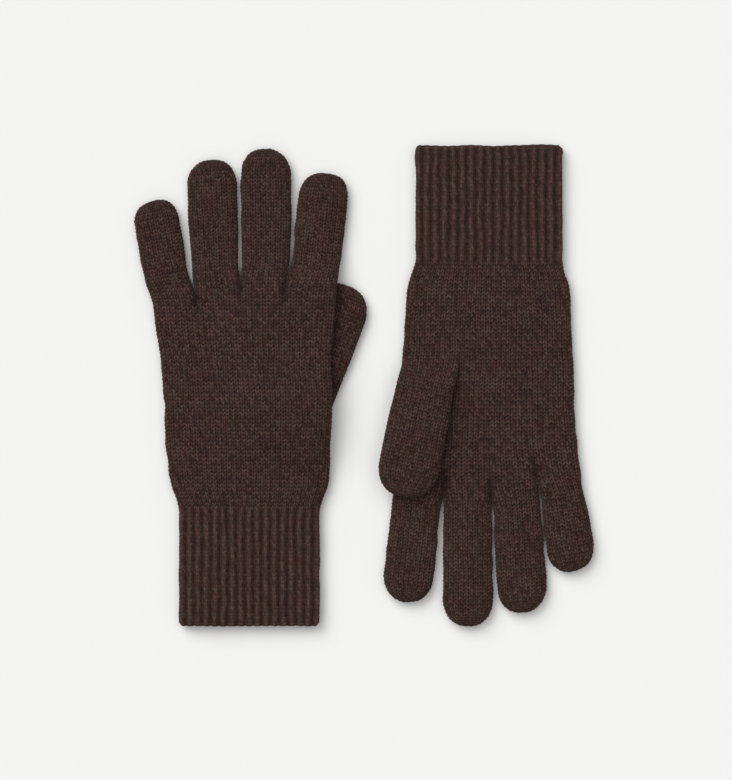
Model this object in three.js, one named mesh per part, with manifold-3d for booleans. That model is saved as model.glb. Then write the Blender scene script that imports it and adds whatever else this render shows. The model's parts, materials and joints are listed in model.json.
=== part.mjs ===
// A pair of full-fingered knitted gloves, lying flat side by side.
// The left glove lies back up with its thumb under the hand, the right one palm up and turned half a turn,
// with its thumb on the palm. Each glove is seven knitted tubes: cuff, hand, thumb and four fingers.
// Millimetres, +Z up, with the origin on the surface that the gloves lie on, under the middle of the pair.
// In a glove's own frame x runs across it towards the thumb, y from the cuff's mouth to the fingertips.
import * as THREE from 'three';
import { ParametricGeometry } from 'three/addons/geometries/ParametricGeometry.js';
import { mergeVertices } from 'three/addons/utils/BufferGeometryUtils.js';
import Module from 'manifold-3d';

const PAIR_LENGTH = 252;              // from one cuff's mouth to the other's
const WALL = 1.8;                     // the knitted fabric's thickness
const THICKNESS = 9;                  // a flattened tube over both its layers
const HALF = THICKNESS / 2;
const WRIST = 63.5;                   // where the rib ends and the hand begins
const LITTLE_DROP = 9;                // the little finger bends this much nearer to the cuff
const LITTLE_STEP = [-30, -20];       // where across the hand its far edge steps down
const STEP_FROM = 148;                // how far along the hand its rows begin to follow that step
const JOINT_GAP = 2.5;                // clear length on each side of a bending line
const UPPER_GAP = 5.2;                // the same on a finger's upper side, which it folds to
const THUMB_CLEAR = 0.4;              // between the thumb and the hand that it lies on or under
const THUMB_RISE = THICKNESS + THUMB_CLEAR;
const THUMB_HOLE = { halfWidth: 11, halfLength: 4.5, behind: 8 };
const FOLD_STEPS = 4;                 // facets on the half-round fold at each edge of a tube
const CUFF_FACE_STEPS = 4;
const HAND_FACE_STEPS = 14;
const DIGIT_FACE_STEPS = 3;
const TIP_SHARES = [1, 0.93, 0.76, 0.5, 0.24, 0];

const YARN = { color: 0x3b2b29, roughness: 0.95, metalness: 0 };

// handEdges: how far along the hand, then its edge away from the thumb and its edge on the thumb's side.
// A digit: the centre and radius of its round tip, its lean towards the thumb in degrees, the line it
// bends about and half its width there.
const LEFT = {
  name: 'left',
  palmUp: false,
  centreX: -60.3,
  cuffHalfWidth: 36.9,
  bend: 186,
  handEdges: [
    [66, -38.3, 38.3], [72, -41, 40.3], [84, -42.6, 42], [96, -43.8, 42.8], [108, -44.5, 43.2],
    [125, -45, 43.6], [142, -46.6, 43.8], [157, -48.9, 44.4], [169, -50.5, 45.2], [177, -51.7, 46],
    [183.5, -52.8, 46.5],
  ],
  thumb: { tip: [45.6, 163], radius: 15.6, lean: 20.6, bend: 117, halfWidth: 15 },
  fingers: {
    index_finger: { tip: [38.5, 223.8], radius: 12.9, lean: 6.1, bend: 186, halfWidth: 12.3 },
    middle_finger: { tip: [8.6, 236.6], radius: 13.1, lean: 0, bend: 186, halfWidth: 12.3 },
    ring_finger: { tip: [-19.4, 230.8], radius: 12.8, lean: -3.2, bend: 186, halfWidth: 12 },
    little_finger: { tip: [-48.2, 211.8], radius: 11.7, lean: -10.6, bend: 177, halfWidth: 11.2 },
  },
};

const RIGHT = {
  name: 'right',
  palmUp: true,
  centreX: 65.6,
  cuffHalfWidth: 38.6,
  bend: 190,
  handEdges: [
    [66, -39.6, 39.6], [72, -41.4, 41.8], [84, -42.8, 43.3], [104, -43.9, 44.6], [125, -44.6, 46.5],
    [142, -45.1, 47.8], [158, -46.3, 49.2], [172, -48.4, 50.4], [187.5, -50.4, 51.4],
  ],
  thumb: { tip: [41.9, 168.3], radius: 15.7, lean: 10.6, bend: 119, halfWidth: 14.6 },
  fingers: {
    index_finger: { tip: [42.1, 226.4], radius: 12.9, lean: 5.4, bend: 190, halfWidth: 12.5 },
    middle_finger: { tip: [11.4, 238.4], radius: 12.9, lean: 0, bend: 190, halfWidth: 12.4 },
    ring_finger: { tip: [-17.3, 231.5], radius: 12.8, lean: -3.6, bend: 190, halfWidth: 12 },
    little_finger: { tip: [-42.3, 210.5], radius: 12.3, lean: -8.9, bend: 181, halfWidth: 10.8 },
  },
};

const wasm = await Module();
wasm.setup();

function smoothstep(low, high, value) {
  const share = Math.min(Math.max((value - low) / (high - low), 0), 1);
  return share * share * (3 - 2 * share);
}

// How far the left glove's hand is raised by the thumb beneath it. The right glove lies flat.
function raised(glove, x, y) {
  if (glove.palmUp) {
    return 0;
  }
  const across = smoothstep(-22, 4, x);
  const fromCuff = smoothstep(80, 106, y);
  const pastThumb = smoothstep(174, 188, y);
  return THUMB_RISE * across * fromCuff * (1 - pastThumb);
}

// A row of the hand steps down towards the little finger, fully at the hand's far end.
function steppedRow(y, end) {
  const share = Math.max(0, (y - STEP_FROM) / (end - STEP_FROM));
  return (x) => y - LITTLE_DROP * share * (1 - smoothstep(...LITTLE_STEP, x));
}

// The round of a flattened tube: a half-round fold at each edge, joined by two flat faces. Each place has
// its edge, from 1 to -1 across the tube, and its turn on the fold as out and up.
function flattenedRound(faceSteps) {
  const round = [];
  for (const edge of [1, -1]) {
    for (let i = 0; i <= FOLD_STEPS; i += 1) {
      const turn = (i / FOLD_STEPS - edge / 2) * Math.PI;
      round.push({ edge, out: Math.cos(turn), up: Math.sin(turn) });
    }
    for (let i = 1; i < faceSteps; i += 1) {
      round.push({ edge: edge * (1 - (2 * i) / faceSteps), out: 0, up: edge });
    }
  }
  return round;
}

// A closed skin through rings listed from a tube's far end down its outside and back up its inside.
// A ring's along is a number, or a function of across and height. lay takes across, along and height
// above the tube's middle to a point.
function skin(rings, faceSteps, lay) {
  const round = flattenedRound(faceSteps);
  const points = rings.map(({ along, middle = 0, halfWidth, halfThickness }) => round.map((place) => {
    const fold = Math.min(halfWidth, halfThickness);
    const across = middle + place.edge * (halfWidth - fold) + place.out * fold;
    const height = place.up * halfThickness;
    return lay(across, typeof along === 'function' ? along(across, height) : along, height);
  }));
  const surface = (aroundShare, alongShare, target) => {
    const ring = points[Math.round(alongShare * (rings.length - 1))];
    target.set(...ring[Math.round(aroundShare * round.length) % round.length]);
  };
  const geometry = new ParametricGeometry(surface, round.length, rings.length - 1);
  geometry.deleteAttribute('normal');
  geometry.deleteAttribute('uv');
  return mergeVertices(geometry, 1e-4);
}

// A tube that is open at both ends: rows give its outer edges, from the far end to the near one.
function openTube(rows, faceSteps, lay) {
  const rings = (inset) => rows.map(([along, low, high]) => ({
    along,
    middle: (low + high) / 2,
    halfWidth: (high - low) / 2 - inset,
    halfThickness: HALF - inset,
  }));
  const outer = rings(0);
  return skin([...outer, ...rings(WALL).reverse(), outer[0]], faceSteps, lay);
}

// A tube with a round closed tip. Along is measured from the line it bends about.
function closedTube(digit, length, foot, lay) {
  const rings = (inset) => {
    const radius = digit.radius - inset;
    const halfThickness = HALF - inset;
    const tip = TIP_SHARES.map((share) => {
      const round = Math.sqrt(1 - share * share);
      return {
        along: length + share * radius,
        halfWidth: radius * round,
        halfThickness: halfThickness * Math.cbrt(round),
      };
    });
    const waist = { along: length * 0.5, halfWidth: radius, halfThickness };
    const mouth = { along: foot, halfWidth: digit.halfWidth - inset, halfThickness };
    return [...tip, waist, mouth];
  };
  return skin([...rings(0), ...rings(WALL).reverse()], DIGIT_FACE_STEPS, lay);
}

function solidOf(geometry) {
  const merged = geometry.clone();
  merged.deleteAttribute('normal');
  merged.deleteAttribute('uv');
  const shared = mergeVertices(merged, 1e-4);
  const vertProperties = new Float32Array(shared.attributes.position.array);
  const triVerts = new Uint32Array(shared.index.array);
  return new wasm.Manifold(new wasm.Mesh({ numProp: 3, vertProperties, triVerts }));
}

function geometryOf(solid) {
  const { vertProperties, triVerts } = solid.getMesh();
  const geometry = new THREE.BufferGeometry();
  geometry.setAttribute('position', new THREE.BufferAttribute(vertProperties, 3));
  geometry.setIndex(new THREE.BufferAttribute(triVerts, 1));
  return geometry;
}

function meshOf(name, geometry) {
  geometry.computeVertexNormals();
  const mesh = new THREE.Mesh(geometry, new THREE.MeshStandardMaterial(YARN));
  mesh.name = name;
  return mesh;
}

// Where a digit's bending line crosses its own middle line, in the glove's frame, and how long it is
// from there to its tip's centre.
function placeOf(digit) {
  const lean = THREE.MathUtils.degToRad(digit.lean);
  const [tipX, tipY] = digit.tip;
  const length = (tipY - digit.bend) / Math.cos(lean);
  return { lean, length, x: tipX - length * Math.sin(lean), y: digit.bend };
}

function cuff(glove) {
  const half = glove.cuffHalfWidth;
  const rows = [WRIST - JOINT_GAP, WRIST / 2, 0].map((along) => [along, -half, half]);
  const lay = (x, y, height) => [x, y, HALF + height];
  return meshOf(`${glove.name}_cuff`, openTube(rows, CUFF_FACE_STEPS, lay));
}

// The hand is open to the cuff, to the fingers and, by a hole in its palm side, to the thumb.
function hand(glove) {
  const end = glove.bend - JOINT_GAP;
  const rows = glove.handEdges.map(([y, low, high]) => [steppedRow(y, end), low, high]).reverse();
  const lay = (x, y, height) => [x, y, HALF + height + raised(glove, x, y)];
  const tube = solidOf(openTube(rows, HAND_FACE_STEPS, lay));
  const { x, y, lean } = placeOf(glove.thumb);
  const holeX = x - THUMB_HOLE.behind * Math.sin(lean);
  const holeY = y - THUMB_HOLE.behind * Math.cos(lean);
  const palmSide = glove.palmUp ? THICKNESS : 0;
  const cutter = new THREE.CylinderGeometry(1, 1, THICKNESS, 12);
  cutter.rotateX(Math.PI / 2);
  cutter.scale(THUMB_HOLE.halfWidth, THUMB_HOLE.halfLength, 1);
  cutter.rotateZ(-lean);
  cutter.translate(holeX, holeY, palmSide + raised(glove, holeX, holeY));
  return meshOf(`${glove.name}_hand`, geometryOf(tube.subtract(solidOf(cutter))));
}

// A finger's mesh sits on its bending line, and its foot is cut back above, where it folds up.
function finger(glove, name, digit) {
  const { lean, length, x, y } = placeOf(digit);
  const foot = (across, height) => JOINT_GAP + (UPPER_GAP - JOINT_GAP) * Math.max(0, height / HALF);
  const lay = (across, along, height) => [across, along, height];
  const mesh = meshOf(`${glove.name}_${name}`, closedTube(digit, length, foot, lay));
  mesh.position.set(x, y, HALF);
  mesh.rotation.z = -lean;
  return mesh;
}

// The thumb lies on the palm of the right glove, and under the palm of the left one.
function thumb(glove) {
  const { lean, length, x, y } = placeOf(glove.thumb);
  const lay = (across, along, height) => [across, along, height];
  const mesh = meshOf(`${glove.name}_thumb`, closedTube(glove.thumb, length, JOINT_GAP, lay));
  mesh.position.set(x, y, HALF + (glove.palmUp ? THUMB_RISE : 0));
  mesh.rotation.z = -lean;
  return mesh;
}

// One glove, with its cuff's mouth at the pair's edge: the right one is turned half a turn.
function gloveGroup(glove) {
  const group = new THREE.Group();
  group.add(cuff(glove), hand(glove), thumb(glove));
  for (const [name, digit] of Object.entries(glove.fingers)) {
    group.add(finger(glove, name, digit));
  }
  const side = glove.palmUp ? 1 : -1;
  group.position.set(glove.centreX, (side * PAIR_LENGTH) / 2, 0);
  group.rotation.z = glove.palmUp ? Math.PI : 0;
  return group;
}

const pair = new THREE.Group();
pair.add(gloveGroup(LEFT), gloveGroup(RIGHT));

export default pair;
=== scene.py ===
"""A pair of brown knitted gloves lying flat: every tube of knitting is a skin with its own stitches.

Lengths are in millimetres in each glove's own frame, x across it towards the thumb, y from the cuff's
mouth to the fingertips and z up, until mesh_piece() lays them in the frame of the CAD model in metres.
"""
import json
import math

import bpy
import numpy as np
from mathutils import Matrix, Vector


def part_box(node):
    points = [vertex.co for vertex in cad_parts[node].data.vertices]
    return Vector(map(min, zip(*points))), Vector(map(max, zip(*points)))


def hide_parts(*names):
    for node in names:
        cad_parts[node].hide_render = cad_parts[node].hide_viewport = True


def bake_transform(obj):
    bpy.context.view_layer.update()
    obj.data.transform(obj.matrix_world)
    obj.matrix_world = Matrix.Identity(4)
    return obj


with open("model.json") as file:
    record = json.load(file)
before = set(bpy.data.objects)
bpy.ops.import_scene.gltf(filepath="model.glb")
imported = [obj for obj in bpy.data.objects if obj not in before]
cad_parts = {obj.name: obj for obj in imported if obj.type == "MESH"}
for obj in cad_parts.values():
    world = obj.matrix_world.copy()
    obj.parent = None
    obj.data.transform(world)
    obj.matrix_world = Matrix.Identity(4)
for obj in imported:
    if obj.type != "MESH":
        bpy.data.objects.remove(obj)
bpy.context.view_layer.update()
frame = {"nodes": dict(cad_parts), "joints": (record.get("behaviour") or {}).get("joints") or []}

MM = 0.001

# The knitting: a wale is a column of stitches, a course is a row of them.
WALES = 68
PER_WALE = 6
PER_COURSE = 4
ROUND = WALES * PER_WALE
FIRST_WALE = 3                        # the step round the tube at which the first wale begins
CUFF_COURSES = 33
HAND_COURSES = 54
DIGIT_COURSE = 1.85                   # the height of a course on the fingers
STITCH_SLOPE = 0.7                    # how many courses a stitch's leg climbs from its foot
STITCH_SLIP = 0.07                    # how unevenly the stitches sit in their column, in courses
STITCH_DEPTH = 0.55
LEG_MIDDLE = 0.46                     # where a leg's crest lies, from the wale's middle at 0 to its side
LEG_HALF = 0.54                       # half a leg's width, in the same measure
RIB_DEPTH = 0.9
RIB_STITCH_DEPTH = 0.42               # height of the stitches on top of the ribs
RIB_END = (1.8, 0.4)                  # courses before and after the wrist between which the ribs die out
SCATTER = (256, 128)                  # courses and legs after which the stitches' unevenness repeats
FABRIC = 1.8                          # thickness of the cloth
INNER_ROW = 12                        # the cloth's inner face has one row for this many outside

# The cuff's mouth.
LIP = 0.8                             # radius of its rolled edge
LIP_STEPS = 5
LIP_EASE = 8                          # how far into the cuff the roll's own length is taken up
CORNER = 1.3                          # how far it is rounded off at its two folds
CORNER_FROM = 0.955                   # share of the half width at which the rounding begins
CORNER_EASE = 5
SCALLOP = 0.3                         # how far the ribs stand out along it
SCALLOP_EASE = 4
LAYER_EASE = 9                        # how far in the two layers' difference in length dies out

# How unevenly the fabric lies, in millimetres: stitch to stitch, in broad waves, along it and in height.
CLOSE_WANDER = 0.34
DIGIT_WANDER = 0.32
BROAD_WANDER = 0.3
LONG_WANDER = 0.3
HEIGHT_WANDER = 0.35

WRIST = 63.5
SPLIT = 170.0                         # where the fingers' own pieces begin
HALF_THICKNESS = 3.9
CUFF_HALF_THICKNESS = 3.3
FLOOR_GAP = 0.9                       # room for the stitches under a tube's smooth surface
OVAL_POINTS = 1441
FLAT_POWER = 4.2                      # how square the round of the hand is, where 2 is an ellipse
DIGIT_POWER = 2.55
DIGIT_INSET = 0.2                     # room for the stitches at a digit's sides
FOOT_LENGTH = 8                       # how far a digit's foot reaches from its bending line
TIP_CORNERS = (0.92, 0.72)
TIP_THINNING = 0.45                   # the lower, the longer a tip stays thick

# Steps round the hand's upper layer at which the fingers part. Its lower layer mirrors them.
PARTINGS = [51, 99, 147]
WALL_STEPS = 18                       # steps from the upper layer to the lower one between two fingers
FINGERS = ["little_finger", "ring_finger", "middle_finger", "index_finger"]
PART_LENGTH = 15                      # the hand's round turns into the fingers' own rounds over this length

# The thumb starts as a thin wedge on the palm's face.
THUMB_STEPS = 156
THUMB_FOLD = 6                        # steps that turn over each of its edges
THUMB_FRONT = THUMB_STEPS // 2 - 2 * THUMB_FOLD
WEDGE_DEPTH = 2.4
WEDGE_SINK = 0.7                      # how far the wedge is sunk into the palm before the thumb grows
SINK_END = (5, 2)                     # how far before and after that point the sinking dies out

# The creases that run from between the fingers down into the hand.
CREASE_DEPTH = 2.0
CREASE_STEPS = 3.5                    # half its width, in steps round the hand
CREASE_LENGTH = 13
CREASE_SHADE = 1.3                    # how far the wool is darkened towards the groove colour along them: painted shade in the creases, on top of their real depth

# How far the left hand is lifted by the thumb under it, where the lift sets in across the hand and along
# it, and where it dies out towards the fingers.
RISE = 7.9
RISE_ACROSS = (-24, 8)
RISE_START = (72, 108)
RISE_END = (172, 200)

# edges: how far along the glove, then its edge away from the thumb and its edge on the thumb's side.
# crotch: where the fabric starts to part at each side of the fingers, from the little finger's outer side.
# nudges: a digit's shift across at its foot and at its tip, and how much longer its tip is.
# tip_corners: how square a tip is away from the thumb and on the thumb's side, where less is squarer.
# upper_drawn_back: how much shorter the cuff's upper layer is than its lower one.
# thumb_first_step: the step round the hand from which the thumb takes its columns.
# thumb_start: the course of the hand at which the thumb's piece begins.
# thumb_grows: where along the glove it turns from a wedge into its own round.
LEFT = {
    "name": "left",
    "palm_up": False,
    "edges": [
        [60, -36.4, 37], [66, -38.2, 38.8], [73, -41, 41], [84, -42.5, 42.5], [96, -43.6, 43.2],
        [108, -44.3, 43.7], [121, -44.9, 44], [133, -45.5, 43], [145, -46.9, 43.6], [157, -48.9, 44.7],
        [169, -50.5, 45.6], [183, -52.8, 46.6], [200, -55, 47.4],
    ],
    "crotch": [168, 170, 176, 176, 172],
    "nudges": {
        "thumb": (0, 0, 0.6), "index_finger": (0.4, 0.3, 0.4), "middle_finger": (0.4, 0.4, 0),
        "ring_finger": (-0.5, 0, 0), "little_finger": (-0.4, 0, -0.9),
    },
    "tip_corners": {"index_finger": (0.9, 0.6), "little_finger": (0.95, 0.6), "middle_finger": (0.92, 0.85)},
    "upper_drawn_back": 0.2,
    "thumb_first_step": 273,
    "thumb_start": 10,
    "thumb_half_thickness": 3.3,
    "thumb_grows": [84, 106],
}
RIGHT = {
    "name": "right",
    "palm_up": True,
    "edges": [
        [60, -38.2, 38.7], [66, -39.6, 40.2], [73, -41.4, 42.4], [84, -42.6, 43.8], [104, -43.6, 45.1],
        [121, -44.2, 46.2], [142, -44.7, 47.8], [158, -46, 49.4], [172, -48.2, 50.8], [187, -50.3, 51.9],
        [204, -52, 52],
    ],
    "crotch": [168, 170, 179, 176, 172],
    "nudges": {
        "thumb": (-0.4, 0.2, 0), "index_finger": (-0.3, 0.2, 0), "middle_finger": (0, -0.2, 0.6),
        "ring_finger": (0.3, 0.2, 0.3), "little_finger": (-0.2, 0, 0.3),
    },
    "tip_corners": {"index_finger": (0.9, 0.9), "middle_finger": (0.75, 0.85)},
    "upper_drawn_back": 1.5,
    "thumb_first_step": 135,
    "thumb_start": 20,
    "thumb_half_thickness": 3.7,
    "thumb_grows": [110, 125],
}

# The wool: painted shade between the stitches, the two browns of their crests and the palest fibres.
# This near-black is painted shade in the hollows between the stitches, not a colour of the yarn.
GROOVE_SHADE = (0.007, 0.003, 0.0028)
REDDISH = (0.083, 0.036, 0.034)
OLIVE = (0.072, 0.044, 0.035)
PALE = (0.2, 0.14, 0.11)
SHEEN = (0.55, 0.42, 0.36)
HUE_CONTRAST = 2.6
TONE_IN_HUE = 0.08                    # how much a stitch's own tone changes its hue
TONE_IN_LIGHT = 0.16                  # and its brightness
GRAIN = 1.9                           # how strongly the fibres show
SPECKS_FROM = 0.735                   # the noise above which a pale fibre shows
SPECK_EDGE = 9.0
INSIDE_RELIEF = 0.4                   # the relief given to the cloth's plain inner face, which paints it with an even share of the shade between the stitches

# The studio. A light's softness is the angle in degrees that it fills.
TABLE = (0.745, 0.745, 0.733)
TABLE_HALF = 2.5
SKY = (1, 1, 0.995)
SKY_STRENGTH = 0.24
KEY = {"from": (-0.6, 0.72, 1.0), "strength": 1.73, "softness": 44}
FILL = {"from": (-0.1, 0.1, 1.0), "strength": 1.83, "softness": 80}

# The camera, in metres but for its sensor.
VIEW_CENTRE = (0.00105, -0.00235)
VIEW_HEIGHT = 0.4079
VIEW_DISTANCE = 1.6
VIEW_LEVEL = 0.0065                   # the height above the table at which the view is that high
SENSOR = 36.0

random = np.random.default_rng(7)
stitch_scatter = np.clip(random.normal(0, 0.9, SCATTER), -1.3, 1.5)


def smoothstep(low, high, value):
    share = np.clip((value - low) / (high - low), 0, 1)
    return share * share * (3 - 2 * share)


def smooth_curve(at, knots, values):
    """A curve through the values at the knots, with no corners."""
    knots = np.asarray(knots, float)
    values = np.asarray(values, float)
    slopes = np.gradient(values, knots)
    i = np.clip(np.searchsorted(knots, at) - 1, 0, len(knots) - 2)
    gap = knots[i + 1] - knots[i]
    u = np.clip((at - knots[i]) / gap, 0, 1)
    rise = smoothstep(0, 1, u)
    return (
        values[i] * (1 - rise) + values[i + 1] * rise
        + gap * (slopes[i] * u * (1 - u) ** 2 - slopes[i + 1] * u * u * (1 - u))
    )


def oval(half_width, half_thickness, power, steps):
    """A flattened oval in even steps from the middle of its left edge over its top: x and z."""
    turn = np.linspace(0, 2 * np.pi, OVAL_POINTS)
    across = np.cos(turn)
    up = np.sin(turn)
    x = -np.sign(across) * np.abs(across) ** (2 / power) * half_width
    z = np.sign(up) * np.abs(up) ** (2 / power) * half_thickness
    length = np.concatenate([[0], np.cumsum(np.hypot(np.diff(x), np.diff(z)))])
    at = np.linspace(0, length[-1], steps, endpoint=False)
    return np.interp(at, length, x), np.interp(at, length, z)


def wander(rows, steps, cell_rows, cell_steps):
    """Soft noise over a grid that closes round the tube, about -1 to 1."""
    coarse_rows = max(3, int(rows / cell_rows) + 2)
    coarse_steps = max(4, int(steps / cell_steps))
    coarse = random.normal(0, 0.6, (coarse_rows, coarse_steps))
    v = np.linspace(0, coarse_rows - 1.001, rows)
    u = np.linspace(0, coarse_steps, steps, endpoint=False)
    v0 = v.astype(int)
    u0 = u.astype(int)
    fv = smoothstep(0, 1, v - v0)[:, None]
    fu = smoothstep(0, 1, u - u0)[None, :]
    u1 = (u0 + 1) % coarse_steps
    low = coarse[v0][:, u0] * (1 - fu) + coarse[v0][:, u1] * fu
    high = coarse[v0 + 1][:, u0] * (1 - fu) + coarse[v0 + 1][:, u1] * fu
    return low * (1 - fv) + high * fv


def raised(glove, x, y):
    """How far the left hand is lifted over its thumb."""
    if glove["palm_up"]:
        return 0 * x
    along = smoothstep(*RISE_START, y) * (1 - smoothstep(*RISE_END, y))
    return RISE * smoothstep(*RISE_ACROSS, x) * along


def creased(glove, y):
    """How far each step of the hand's round is drawn in by the creases that start between the fingers."""
    steps = np.arange(ROUND)
    depth = np.zeros(ROUND)
    for parting, crotch in zip(PARTINGS, glove["crotch"][1:]):
        away = np.minimum(np.abs(steps - parting), np.abs(steps - (ROUND - parting)))
        depth += np.exp(-(away / CREASE_STEPS) ** 2) * smoothstep(crotch - CREASE_LENGTH, crotch + 2, y)
    return depth * CREASE_DEPTH / HALF_THICKNESS


def hand_round(glove, y):
    """The tube of cuff and hand at one row: its points in even steps from its left fold over its top."""
    knots, low, high = np.array(glove["edges"]).T
    y_in = max(y, knots[0])
    left = smooth_curve(y_in, knots, low) + STITCH_DEPTH
    right = smooth_curve(y_in, knots, high) - STITCH_DEPTH
    hand_share = smoothstep(WRIST - 4, WRIST + 6, y)
    half_thickness = CUFF_HALF_THICKNESS + (HALF_THICKNESS - CUFF_HALF_THICKNESS) * hand_share
    x, z = oval((right - left) / 2, half_thickness, FLAT_POWER, ROUND)
    x = x + (left + right) / 2
    z = z * (1 - creased(glove, y)) + HALF_THICKNESS + FLOOR_GAP + raised(glove, x, y)
    return np.stack([x, np.full(ROUND, float(y)), z], axis=1)


def hand_rows():
    cuff = np.arange(CUFF_COURSES * PER_COURSE) * WRIST / (CUFF_COURSES * PER_COURSE)
    hand = WRIST + np.arange(HAND_COURSES * PER_COURSE + 1) * (SPLIT - WRIST) / (HAND_COURSES * PER_COURSE)
    return np.concatenate([cuff, hand])


def jersey(wale, course):
    """Relief of stocking stitch, 0 to 1: in each wale two legs climb away from the middle."""
    away = np.abs(2 * (wale - np.floor(wale)) - 1)
    leg = np.clip(1 - ((away - LEG_MIDDLE) / LEG_HALF) ** 2, 0, 1)
    at = course - STITCH_SLOPE * away
    side = (2 * (wale - np.floor(wale)) > 1).astype(int)
    leg_number = 2 * np.floor(wale).astype(int) + side
    stitch_number = np.floor(at + 0.5).astype(int)
    scatter = stitch_scatter[stitch_number % SCATTER[0], leg_number % SCATTER[1]]
    bead = 0.5 + 0.5 * np.cos(2 * np.pi * (at + STITCH_SLIP * scatter))
    return (0.18 + 0.82 * leg) * (0.12 + 0.88 * bead) * (1 + 0.2 * scatter), scatter


def ribs(wale):
    """Relief of the cuff's ribs, 0 to 1: every other wale stands up."""
    return (0.5 + 0.5 * np.cos(2 * np.pi * (wale / 2 - 0.25))) ** 0.7


def knit(wale, course):
    """Height of the stitches in millimetres, their relief from 0 to 1, which also sets the painted shade
    between them, and each stitch's own tone.
    """
    stitches, scatter = jersey(wale, course)
    ridge = ribs(wale)
    rib_height = RIB_DEPTH * ridge + RIB_STITCH_DEPTH * stitches * (0.35 + 0.65 * ridge)
    # The ribs' relief also paints shade into the hollows between the ribs.
    rib_relief = (0.2 + 0.8 * ridge) * (0.4 + 0.6 * stitches)
    rib_share = 1 - smoothstep(CUFF_COURSES - RIB_END[0], CUFF_COURSES + RIB_END[1], course)
    height = rib_height * rib_share + STITCH_DEPTH * stitches * (1 - rib_share)
    relief = rib_relief * rib_share + stitches * (1 - rib_share)
    return height, np.clip(relief, 0, 1), scatter


def normals_of(grid):
    """Unit normals of a grid of rows, each of which closes on itself."""
    round_way = np.roll(grid, -1, axis=1) - np.roll(grid, 1, axis=1)
    long_way = np.gradient(grid, axis=0)
    normal = np.cross(round_way, long_way)
    return normal / np.maximum(np.linalg.norm(normal, axis=2, keepdims=True), 1e-9)


def inside_of(grid):
    """The cloth's inner face: each row drawn in by the cloth's thickness."""
    mirror = np.roll(grid[:, ::-1], 1, axis=1)
    middle = (grid + mirror) / 2
    half_thickness = np.abs(grid - mirror)[:, :, 2].max(axis=1) / 2
    centre = (grid.min(axis=1) + grid.max(axis=1)) / 2
    half_width = np.ptp(grid, axis=1)[:, :2].max(axis=1) / 2
    thin = np.clip(1 - FABRIC / np.maximum(half_thickness, 0.1), 0.1, 1)[:, None, None]
    narrow = np.clip(1 - FABRIC / np.maximum(half_width, 0.1), 0.1, 1)[:, None, None]
    inner = middle + (grid - middle) * thin
    flat = np.array([1, 1, 0])
    return inner - (inner - centre[:, None]) * (1 - narrow) * flat


def to_world(glove, points):
    side = -1 if glove["palm_up"] else 1
    turned = points * np.array([side, side, 1])
    return (turned + np.array([glove["x"], glove["y"], 0])) * MM


def from_world(glove, points):
    side = -1 if glove["palm_up"] else 1
    return (np.asarray(points) / MM - np.array([glove["x"], glove["y"], 0])) * np.array([side, side, 1])


def skin_faces(rows, inner_rows, steps, closed):
    """The four-sided and three-sided faces of a skin: outside, inside and its two ends."""
    here = np.arange(steps)
    beyond = (here + 1) % steps

    def band(first, second):
        return np.stack([first + here, first + beyond, second + beyond, second + here], axis=1)

    inner_start = rows * steps
    last = (rows - 1) * steps
    inner_last = inner_start + (inner_rows - 1) * steps
    quads = [band(r * steps, (r + 1) * steps) for r in range(rows - 1)]
    for r in range(inner_rows - 1):
        quads.append(band(inner_start + r * steps, inner_start + (r + 1) * steps)[:, ::-1])
    quads.append(band(0, inner_start)[:, ::-1])
    if not closed:
        quads.append(band(last, inner_last))
        return np.concatenate(quads), np.zeros((0, 3), int)
    tip = inner_last + steps
    outside = np.stack([last + here, last + beyond, np.full(steps, tip)], axis=1)
    inside = np.stack([inner_last + beyond, inner_last + here, np.full(steps, tip + 1)], axis=1)
    return np.concatenate(quads), np.concatenate([outside, inside])


def sharpen_ends(mesh, ends):
    """Marks the edges between the points at a skin's open ends as sharp."""
    edges = np.empty(len(mesh.edges) * 2, np.int32)
    mesh.edges.foreach_get("vertices", edges)
    edges = edges.reshape(-1, 2)
    sharp = ends[edges[:, 0]] & ends[edges[:, 1]]
    mesh.attributes.new("sharp_edge", "BOOLEAN", "EDGE").data.foreach_set("value", sharp)


def mesh_piece(glove, name, outer, inner, relief, tone, closed):
    """One closed skin: stitches outside, a plain face inside, joined at the open ends or shut at the tip."""
    rows, steps = outer.shape[:2]
    points = [outer.reshape(-1, 3), inner.reshape(-1, 3)]
    if closed:
        points.append(outer[-1].mean(axis=0, keepdims=True))
        points.append(inner[-1].mean(axis=0, keepdims=True))
    points = np.concatenate(points)
    quads, triangles = skin_faces(rows, len(inner), steps, closed)

    mesh = bpy.data.meshes.new(name)
    mesh.vertices.add(len(points))
    mesh.vertices.foreach_set("co", to_world(glove, points).astype(np.float32).ravel())
    corners = np.concatenate([quads.ravel(), triangles.ravel()]).astype(np.int32)
    mesh.loops.add(len(corners))
    mesh.loops.foreach_set("vertex_index", corners)
    triangle_starts = len(quads) * 4 + np.arange(len(triangles)) * 3
    starts = np.concatenate([np.arange(len(quads)) * 4, triangle_starts]).astype(np.int32)
    mesh.polygons.add(len(starts))
    mesh.polygons.foreach_set("loop_start", starts)
    mesh.update(calc_edges=True)
    mesh.shade_smooth()
    ends = np.zeros(len(points), bool)
    ends[:steps] = True
    if not closed:
        ends[(rows - 1) * steps:rows * steps] = True
    sharpen_ends(mesh, ends)

    # The relief attribute sets the painted shade between the stitches; the plain inner face gets an even
    # share of it.
    plain = np.zeros(len(points) - rows * steps)
    add_value(mesh, "relief", np.concatenate([relief.ravel(), plain + INSIDE_RELIEF]))
    add_value(mesh, "tone", np.concatenate([tone.ravel(), plain]))
    place = mesh.attributes.new("place", "FLOAT_VECTOR", "POINT")
    own_place = points + glove["x"] * 3      # so that the two gloves' wool differs
    place.data.foreach_set("vector", own_place.astype(np.float32).ravel())
    piece = bpy.data.objects.new(name, mesh)
    bpy.context.scene.collection.objects.link(piece)
    return piece


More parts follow.
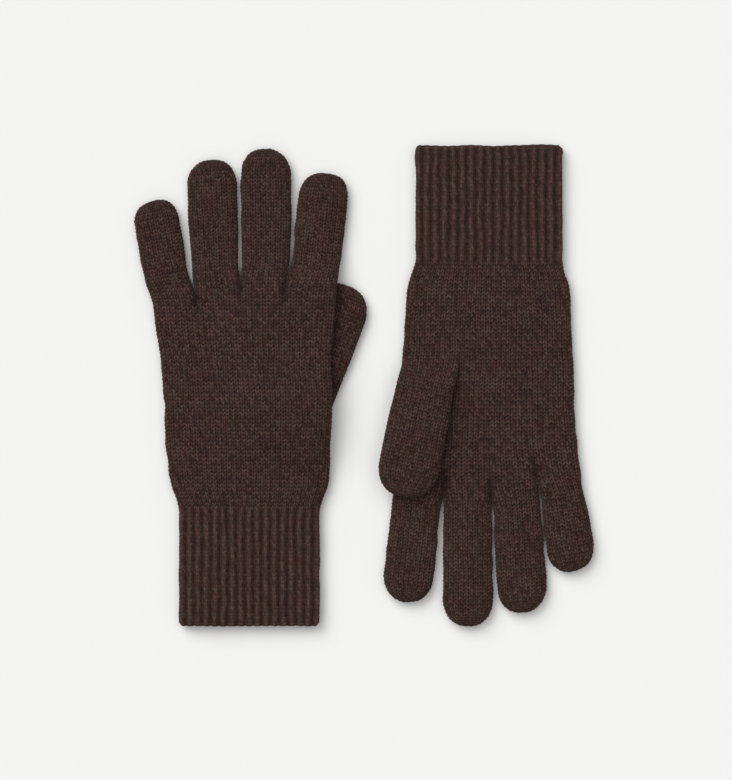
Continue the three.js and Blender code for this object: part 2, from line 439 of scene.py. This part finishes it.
def add_value(mesh, name, values):
    mesh.attributes.new(name, "FLOAT", "POINT").data.foreach_set("value", values.astype(np.float32))


def joint_of(child):
    return next(joint for joint in frame["joints"] if joint["child"] == child)


def stitched(grid, wale, course):
    """Raises the stitches on a smooth skin."""
    height, relief, tone = knit(wale, course)
    return grid + normals_of(grid) * height[:, :, None], relief, tone


def make_body(glove):
    """Cuff and hand, which are one tube of knitting in two pieces that meet at the wrist."""
    y = hand_rows()
    grid = np.stack([hand_round(glove, row) for row in y])
    rows = len(y)
    fade = smoothstep(0, 40, rows - 1 - np.arange(rows))[:, None]
    upper = smoothstep(-0.3, 0.7, normals_of(grid)[:, :, 2])
    sideways = CLOSE_WANDER * wander(rows, ROUND, 14, 14)
    sideways = sideways + BROAD_WANDER * wander(rows, ROUND, 40, 18)
    grid[:, :, 0] += fade * sideways
    grid[:, :, 1] += LONG_WANDER * fade * wander(rows, ROUND, 16, 30)
    grid[:, :, 2] += HEIGHT_WANDER * fade * upper * wander(rows, ROUND, 40, 40)
    course = np.broadcast_to(np.arange(rows)[:, None] / PER_COURSE, (rows, ROUND))
    wale = np.broadcast_to((np.arange(ROUND)[None, :] - FIRST_WALE) / PER_WALE, (rows, ROUND))
    outer, relief, tone = stitched(grid, wale, course)
    # Painted shade: the wool is darkened along the creases that run from between the fingers.
    relief = relief * (1 - CREASE_SHADE * np.stack([creased(glove, row) for row in y]))
    wrist_row = CUFF_COURSES * PER_COURSE
    cuff_piece(glove, grid, outer, relief, tone, wale, wrist_row)
    hand = slice(wrist_row, rows)
    inner = inside_of(grid[hand][::INNER_ROW])
    name = glove["name"] + "_hand"
    piece = mesh_piece(glove, name + "_knit", outer[hand], inner, relief[hand], tone[hand], closed=False)
    finish_piece(piece, name, "jersey knit")
    blend_wrist(piece)


def rolled_lip(row, normal):
    """The cuff's rolled edge: rows that turn half way round from inside the cloth to its first row."""
    back = np.array([0, -1, 0])
    turns = math.pi * (1 - np.arange(LIP_STEPS) / LIP_STEPS)
    return np.array([
        row + normal * LIP * (math.cos(turn) - 1) + back * LIP * math.sin(turn) for turn in turns
    ])


def mouth_shift(glove, skin, upper, ridge):
    """How far into the cuff each point near its mouth is moved: by layer, fold, rib and roll."""
    along = skin[:, :, 1]
    sideways = np.abs(skin[:, :, 0] - skin[:, :, 0].mean(axis=1, keepdims=True))
    sideways = sideways / sideways.max(axis=1, keepdims=True)
    layer = glove["upper_drawn_back"] * upper * (1 - smoothstep(0, LAYER_EASE, along))
    corner = CORNER * smoothstep(CORNER_FROM, 1.0, sideways) * (1 - smoothstep(0, CORNER_EASE, along))
    scallop = SCALLOP * (0.5 - ridge) * (1 - smoothstep(0, SCALLOP_EASE, along))
    roll = LIP * (1 - smoothstep(0, LIP_EASE, along))
    return layer + corner + scallop + roll


def cuff_piece(glove, grid, outer, relief, tone, wale, wrist_row):
    """The cuff, with a rolled edge at its mouth and its upper layer drawn back a little."""
    cuff = slice(0, wrist_row + 1)
    normal = normals_of(grid)[0]
    upper = smoothstep(-0.6, 0.6, normal[:, 2])[None, :]
    skin = np.concatenate([rolled_lip(outer[0], normal), outer[cuff]])
    shift = mouth_shift(glove, skin, upper, ribs(wale[:1]))
    skin[:, :, 1] += shift
    # The rolled lip gets less of the painted shade between the stitches than the cuff below it.
    lip_relief = np.repeat(relief[:1], LIP_STEPS, axis=0) * 0.8 + 0.25
    lip_tone = np.repeat(tone[:1], LIP_STEPS, axis=0)
    inner = inside_of(grid[cuff][::INNER_ROW])
    inner[0, :, 1] += shift[LIP_STEPS]
    name = glove["name"] + "_cuff"
    piece = mesh_piece(
        glove, name + "_knit", skin, inner, np.concatenate([lip_relief, relief[cuff]]),
        np.concatenate([lip_tone, tone[cuff]]), closed=False,
    )
    finish_piece(piece, name, "rib knit")
    blend_wrist(piece)


def fitted_lean(points):
    """How far a long flat solid leans from y towards x, in radians."""
    spread = np.cov(points[:, 0], points[:, 1])
    x, y = np.linalg.eigh(spread)[1][:, -1]
    return math.atan(x / y)


def digit_measures(glove, name):
    """A digit's bending line and its lean, and how far and how wide its CAD solid reaches from there."""
    joint = joint_of(glove["name"] + "_" + name)
    pivot = from_world(glove, np.array(joint["pos_m"]))
    solid = frame["nodes"][glove["name"] + "_" + name]
    points = np.array([solid.matrix_world @ v.co for v in solid.data.vertices])
    points = np.unique((from_world(glove, points) - pivot).round(3), axis=0)
    lean = fitted_lean(points)
    across = np.array([math.cos(lean), -math.sin(lean), 0])
    along = np.array([math.sin(lean), math.cos(lean), 0])
    reach = (points @ along).max()
    half_width = np.abs(points @ across).max()
    foot = points[points @ along < FOOT_LENGTH]
    half_foot = np.abs(foot @ across).max()
    return {
        "pivot": pivot, "across": across, "along": along, "reach": reach,
        "half_width": half_width, "half_foot": half_foot,
        "nudge": glove["nudges"].get(name, (0, 0, 0)),
        "tip_corners": glove["tip_corners"].get(name, TIP_CORNERS),
    }


def digit_rows(glove, start, digit, course_height):
    """How far along the glove's frame a digit's rows lie, up to its tip's centre, and the cap's turns."""
    end = digit["pivot"][1] + digit["reach"] - digit["half_width"]
    courses = round((end - start) / course_height)
    body = np.linspace(start, end, courses * PER_COURSE + 1)
    arc = digit["half_width"] * math.pi / 2
    cap = round(arc / course_height * 0.9) * PER_COURSE
    turns = np.arange(1, cap) / cap * math.pi / 2
    return body, turns


def digit_round(digit, row, turn, steps, half_thickness, middle_z):
    """An oval round a digit, square to its own length. turn is 0 on its body, and grows round its tip."""
    from_pivot = row - digit["pivot"][1]
    swell = smoothstep(0, 0.5 * digit["reach"], from_pivot)
    half_width = digit["half_foot"] + (digit["half_width"] - digit["half_foot"]) * swell - DIGIT_INSET
    foot_shift, tip_shift, tip_reach = digit["nudge"]
    shift = foot_shift + (tip_shift - foot_shift) * smoothstep(0, 0.8 * digit["reach"], from_pivot)
    thickness = half_thickness
    if turn > 0:
        from_pivot += (half_width + tip_reach) * math.sin(turn)
        thickness *= math.cos(turn) ** TIP_THINNING
        far_side = half_width * math.cos(turn) ** digit["tip_corners"][0]
        thumb_side = half_width * math.cos(turn) ** digit["tip_corners"][1]
        shift += (thumb_side - far_side) / 2
        half_width = (thumb_side + far_side) / 2
    x, z = oval(half_width, thickness, DIGIT_POWER, steps)
    x = x + shift
    base = digit["pivot"] * np.array([1, 1, 0]) + np.array([0, 0, middle_z])
    up = np.array([0, 0, 1])
    return base + x[:, None] * digit["across"] + z[:, None] * up + from_pivot * digit["along"]


def wall(front, back, steps):
    share = np.arange(steps)[:, None] / steps
    return front * (1 - share) + back * share


def finger_root(ring, number):
    """A finger's share of the hand's round, closed by walls to its neighbours, and its columns."""
    half_wall = WALL_STEPS // 2
    first = 0 if number == 0 else PARTINGS[number - 1]
    last = ROUND // 2 if number == len(PARTINGS) else PARTINGS[number]
    front = np.arange(first, last)
    back = np.arange(ROUND - last, ROUND - first)
    parts = [ring[front]]
    columns = [front]
    if number < len(PARTINGS):
        parts.append(wall(ring[last], ring[ROUND - last], WALL_STEPS))
        columns.append(last + np.arange(WALL_STEPS))
    parts.append(ring[back])
    columns.append(back)
    if number > 0:
        near_wall = wall(ring[ROUND - first], ring[first], WALL_STEPS)
        parts = [near_wall[half_wall:], *parts, near_wall[:half_wall]]
        before = first - half_wall + np.arange(half_wall)
        columns = [before, *columns, ROUND - first + np.arange(half_wall)]
    return np.concatenate(parts), np.concatenate(columns)


def make_finger(glove, number):
    name = FINGERS[number]
    digit = digit_measures(glove, name)
    body, turns = digit_rows(glove, SPLIT, digit, DIGIT_COURSE)
    crotch_left = glove["crotch"][number]
    crotch_right = glove["crotch"][number + 1]
    middle_z = HALF_THICKNESS + FLOOR_GAP
    grid = []
    shade = []
    for row, turn in [(row, 0) for row in body] + [(body[-1], turn) for turn in turns]:
        root, columns = finger_root(hand_round(glove, row), number)
        ring = digit_round(digit, row, turn, len(root), HALF_THICKNESS, middle_z)
        ring[:, 2] += raised(glove, ring[:, 0], ring[:, 1])
        centre = (root[:, 0].min() + root[:, 0].max()) / 2
        half = np.ptp(root[:, 0]) / 2
        share = np.clip((root[:, 0] - centre) / half * 0.5 + 0.5, 0, 1)
        crotch = crotch_left + (crotch_right - crotch_left) * share
        parted = smoothstep(crotch, crotch + PART_LENGTH, row)[:, None]
        grid.append(root * (1 - parted) + ring * parted)
        shade.append(creased(glove, row)[columns % ROUND] * (1 - parted[:, 0]))
    grid = np.array(grid)
    rows, steps = grid.shape[:2]
    drift = smoothstep(0, 30, np.arange(rows))[:, None]
    grid[:, :, 0] += DIGIT_WANDER * drift * wander(rows, steps, 14, 14)
    grid[:, :, 1] += LONG_WANDER * drift * wander(rows, steps, 16, 30)
    wale = np.broadcast_to((columns[None, :] - FIRST_WALE) / PER_WALE, (rows, steps))
    course = CUFF_COURSES + HAND_COURSES + np.arange(rows)[:, None] / PER_COURSE
    course = np.broadcast_to(course, (rows, steps))
    outer, relief, tone = stitched(grid, wale, course)
    # Painted shade: the wool is darkened along the creases at the finger's foot.
    relief = relief * (1 - CREASE_SHADE * np.array(shade))
    inner = inside_of(grid[::INNER_ROW])
    full_name = glove["name"] + "_" + name
    piece = mesh_piece(glove, full_name + "_knit", outer, inner, relief, tone, closed=True)
    finish_piece(piece, full_name, "jersey knit")
    blend_digit(piece)


def thumb_root(glove, ring):
    """The part of the palm that the thumb grows from, as a thin wedge at its face, and its columns."""
    half = THUMB_STEPS // 2
    first = glove["thumb_first_step"]
    j = np.arange(THUMB_STEPS)
    over = np.where(j <= half, j, (THUMB_STEPS - j) % THUMB_STEPS)
    step = np.clip(over, THUMB_FOLD, half - THUMB_FOLD) - THUMB_FOLD
    fold_share = np.clip((THUMB_FOLD - np.minimum(over, half - over)) / THUMB_FOLD, 0, 1)
    if glove["palm_up"]:
        root = ring[first + step].copy()
        depth = np.where(j > half, 1 - 0.5 * fold_share, 0.5 * fold_share)
        columns = first + j - THUMB_FOLD
    else:
        root = ring[first - step].copy()
        depth = -np.where(j < half, 1 - 0.5 * fold_share, 0.5 * fold_share)
        columns = first - THUMB_FRONT + j - half - THUMB_FOLD
    root[:, 2] -= WEDGE_DEPTH * depth
    return root, columns


def make_thumb(glove):
    digit = digit_measures(glove, "thumb")
    hand_course = (SPLIT - WRIST) / HAND_COURSES
    start = WRIST + glove["thumb_start"] * hand_course
    body, turns = digit_rows(glove, start, digit, hand_course)
    grows_from, grows_to = glove["thumb_grows"]
    palm_side = 1 if glove["palm_up"] else -1
    half_thickness = glove["thumb_half_thickness"]
    middle_z = half_thickness + FLOOR_GAP
    if glove["palm_up"]:
        middle_z += 2 * (HALF_THICKNESS + FLOOR_GAP)
    grid = []
    for row, turn in [(row, 0) for row in body] + [(body[-1], turn) for turn in turns]:
        root, columns = thumb_root(glove, hand_round(glove, row))
        sink = WEDGE_SINK * (1 - smoothstep(grows_from - SINK_END[0], grows_from + SINK_END[1], row))
        root[:, 2] -= palm_side * sink
        ring = digit_round(digit, row, turn, THUMB_STEPS, half_thickness, middle_z)
        grown = smoothstep(grows_from, grows_to, row)
        grid.append(root * (1 - grown) + ring * grown)
    grid = np.array(grid)
    rows = len(grid)
    wale = np.broadcast_to((columns[None, :] - FIRST_WALE) / PER_WALE, (rows, THUMB_STEPS))
    course = CUFF_COURSES + glove["thumb_start"] + np.arange(rows)[:, None] / PER_COURSE
    course = np.broadcast_to(course, (rows, THUMB_STEPS))
    outer, relief, tone = stitched(grid, wale, course)
    inner = inside_of(grid[::INNER_ROW])
    name = glove["name"] + "_thumb"
    piece = mesh_piece(glove, name + "_knit", outer, inner, relief, tone, closed=True)
    finish_piece(piece, name, "jersey knit")
    blend_digit(piece)


def finish_piece(piece, node, material):
    piece.data.materials.append(bpy.data.materials[material])
    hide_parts(node)


def blend_wrist(piece):
    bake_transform(piece)


def blend_digit(piece):
    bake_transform(piece)


def node_in(tree, kind, **inputs):
    node = tree.nodes.new(kind)
    for name, value in inputs.items():
        node.inputs[name].default_value = value
    return node


def attribute_in(tree, name):
    node = tree.nodes.new("ShaderNodeAttribute")
    node.attribute_name = name
    return node


def noise_in(tree, place, scale, detail, roughness):
    """Noise from 0 to 1. scale is in waves a millimetre."""
    node = node_in(tree, "ShaderNodeTexNoise", Scale=scale, Detail=detail, Roughness=roughness)
    tree.links.new(place.outputs["Vector"], node.inputs["Vector"])
    return node.outputs["Fac"]


def math_in(tree, operation, first, second):
    node = tree.nodes.new("ShaderNodeMath")
    node.operation = operation
    for socket, value in zip(node.inputs, (first, second)):
        if isinstance(value, (int, float)):
            socket.default_value = value
        else:
            tree.links.new(value, socket)
    return node.outputs[0]


def mix_colours(tree, share, first, second):
    node = tree.nodes.new("ShaderNodeMix")
    node.data_type = "RGBA"
    for socket, value in ((node.inputs[0], share), (node.inputs[6], first), (node.inputs[7], second)):
        if isinstance(value, tuple):
            socket.default_value = (*value, 1)
        else:
            tree.links.new(value, socket)
    return node.outputs[2]


def crest_colour(tree, place, tone):
    """The colour on the stitches' crests, which wanders between two browns."""
    patches = noise_in(tree, place, scale=0.13, detail=3, roughness=0.6)
    own_hue = math_in(tree, "MULTIPLY", tone, TONE_IN_HUE)
    spread = math_in(tree, "ADD", math_in(tree, "SUBTRACT", patches, 0.5), own_hue)
    hue = math_in(tree, "MULTIPLY_ADD", spread, HUE_CONTRAST)
    hue.node.inputs[2].default_value = 0.5
    hue.node.use_clamp = True
    return mix_colours(tree, hue, REDDISH, OLIVE)


def wool_colour(tree, place):
    """Painted shade between the stitches, lighter browns on their crests, and palest on a few fibres."""
    relief = attribute_in(tree, "relief").outputs["Fac"]
    tone = attribute_in(tree, "tone").outputs["Fac"]
    fibres = noise_in(tree, place, scale=2.6, detail=2, roughness=0.6)
    grain = math_in(tree, "MULTIPLY", math_in(tree, "SUBTRACT", fibres, 0.5), GRAIN)
    # relief and grain set how far each point takes the crests' colour rather than the painted shade between
    # the stitches.
    height = math_in(tree, "ADD", relief, grain)
    height.node.use_clamp = True
    colour = mix_colours(tree, height, GROOVE_SHADE, crest_colour(tree, place, tone))
    bright = math_in(tree, "MULTIPLY_ADD", tone, TONE_IN_LIGHT)
    bright.node.inputs[2].default_value = 1.0
    scaled = tree.nodes.new("ShaderNodeVectorMath")
    scaled.operation = "SCALE"
    tree.links.new(colour, scaled.inputs[0])
    tree.links.new(bright, scaled.inputs["Scale"])
    specks = noise_in(tree, place, scale=0.9, detail=2, roughness=0.5)
    speck = math_in(tree, "MULTIPLY", math_in(tree, "SUBTRACT", specks, SPECKS_FROM), SPECK_EDGE)
    speck.node.use_clamp = True
    return mix_colours(tree, speck, scaled.outputs[0], PALE)


def wool(name):
    """Dark brown melange wool with fine fuzz."""
    material = bpy.data.materials.new(name)
    material.use_nodes = True
    tree = material.node_tree
    shader = tree.nodes["Principled BSDF"]
    shader.inputs["Roughness"].default_value = 0.92
    shader.inputs["Specular IOR Level"].default_value = 0.12
    shader.inputs["Sheen Weight"].default_value = 0.12
    shader.inputs["Sheen Roughness"].default_value = 0.5
    shader.inputs["Sheen Tint"].default_value = (*SHEEN, 1)
    place = attribute_in(tree, "place")
    tree.links.new(wool_colour(tree, place), shader.inputs["Base Color"])
    fuzz = noise_in(tree, place, scale=4.5, detail=4, roughness=0.75)
    bump = node_in(tree, "ShaderNodeBump", Strength=0.5, Distance=0.00035)
    tree.links.new(fuzz, bump.inputs["Height"])
    tree.links.new(bump.outputs["Normal"], shader.inputs["Normal"])


def make_stage():
    """A plain pale table top."""
    mesh = bpy.data.meshes.new("table")
    sides = ((-1, -1), (1, -1), (1, 1), (-1, 1))
    mesh.from_pydata([(x * TABLE_HALF, y * TABLE_HALF, 0) for x, y in sides], [], [(0, 1, 2, 3)])
    table = bpy.data.objects.new("table", mesh)
    bpy.context.scene.collection.objects.link(table)
    material = bpy.data.materials.new("pale table")
    material.use_nodes = True
    shader = material.node_tree.nodes["Principled BSDF"]
    shader.inputs["Base Color"].default_value = (*TABLE, 1)
    shader.inputs["Roughness"].default_value = 1.0
    shader.inputs["Specular IOR Level"].default_value = 0.0
    mesh.materials.append(material)


def make_light():
    """A pale even studio, with a soft key light from the upper left and a softer one overhead."""
    world = bpy.data.worlds.new("studio")
    world.use_nodes = True
    background = world.node_tree.nodes["Background"]
    background.inputs["Color"].default_value = (*SKY, 1)
    background.inputs["Strength"].default_value = SKY_STRENGTH
    bpy.context.scene.world = world
    for name, light in (("key", KEY), ("fill", FILL)):
        data = bpy.data.lights.new(name, "SUN")
        data.energy = light["strength"]
        data.angle = math.radians(light["softness"])
        lamp = bpy.data.objects.new(name, data)
        lamp.rotation_euler = (-Vector(light["from"])).to_track_quat("-Z", "Y").to_euler()
        bpy.context.scene.collection.objects.link(lamp)


def make_camera():
    """Straight above the pair, with the left glove's fingers away from the viewer."""
    data = bpy.data.cameras.new("camera")
    data.sensor_width = SENSOR
    data.lens = SENSOR * VIEW_DISTANCE / VIEW_HEIGHT
    camera = bpy.data.objects.new("camera", data)
    camera.location = (*VIEW_CENTRE, VIEW_DISTANCE + VIEW_LEVEL)
    bpy.context.scene.collection.objects.link(camera)
    bpy.context.scene.camera = camera


for glove in (LEFT, RIGHT):
    low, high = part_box(glove["name"] + "_cuff")
    glove["x"] = (low.x + high.x) / 2 / MM
    glove["y"] = high.y / MM if glove["palm_up"] else low.y / MM

make_camera()
make_light()
make_stage()
wool("jersey knit")
wool("rib knit")
for glove in (LEFT, RIGHT):
    make_body(glove)
    make_thumb(glove)
    for number in range(len(FINGERS)):
        make_finger(glove, number)

bpy.context.scene.view_settings.view_transform = "Standard"
